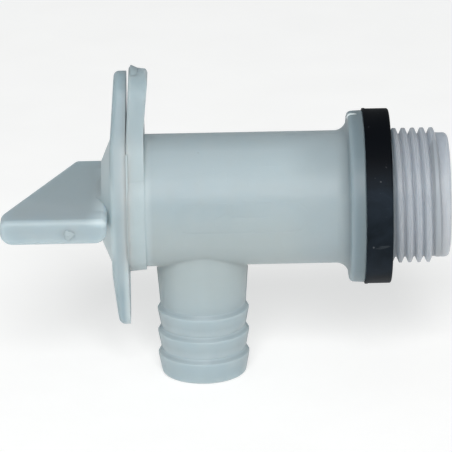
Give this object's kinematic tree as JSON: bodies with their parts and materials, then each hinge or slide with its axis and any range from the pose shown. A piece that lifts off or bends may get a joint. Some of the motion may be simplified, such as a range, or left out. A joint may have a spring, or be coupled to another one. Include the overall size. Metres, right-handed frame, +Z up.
{
  "type": "lockable barrel tap",
  "caption": "Plastic barrel tap with a threaded inlet and gasket, a quarter-turn rotor with a fin grip, matching padlock ears and a barbed hose tail.",
  "frame": {"origin": "on the barrel's axis, in the plane of the shoulder face that the gasket sits against", "axes": "+X along the barrel axis out of the threaded inlet, +Z up towards the padlock ears, -Z down along the hose tail; the tap is shut at rest"},
  "size_m": [0.0869, 0.0379, 0.0628],
  "materials": {
    "moulded_body": "natural translucent polyethylene, satin as moulded",
    "moulded_key": "natural translucent polyethylene, satin as moulded",
    "gasket_rubber": "moulded black rubber, slightly scuffed",
    "seal_rubber": "smooth nitrile rubber",
    "washer_plastic": "low-friction plastic, matt",
    "clip_steel": "stainless spring steel"
  },
  "bodies": {
    "valve": {"valve_body": "moulded_body", "inlet_gasket": "gasket_rubber"},
    "key": {"plug_key": "moulded_key", "front_o_ring": "seal_rubber", "rear_o_ring": "seal_rubber", "port_seal": "seal_rubber", "thrust_washer": "washer_plastic", "retaining_ring": "clip_steel"}
  },
  "joints": [
    {"name": "key_turn", "type": "hinge", "parent": "valve", "child": "key", "pos_m": [0, 0, 0], "axis": [1, 0, 0], "range_deg": [0, 90]}
  ]
}
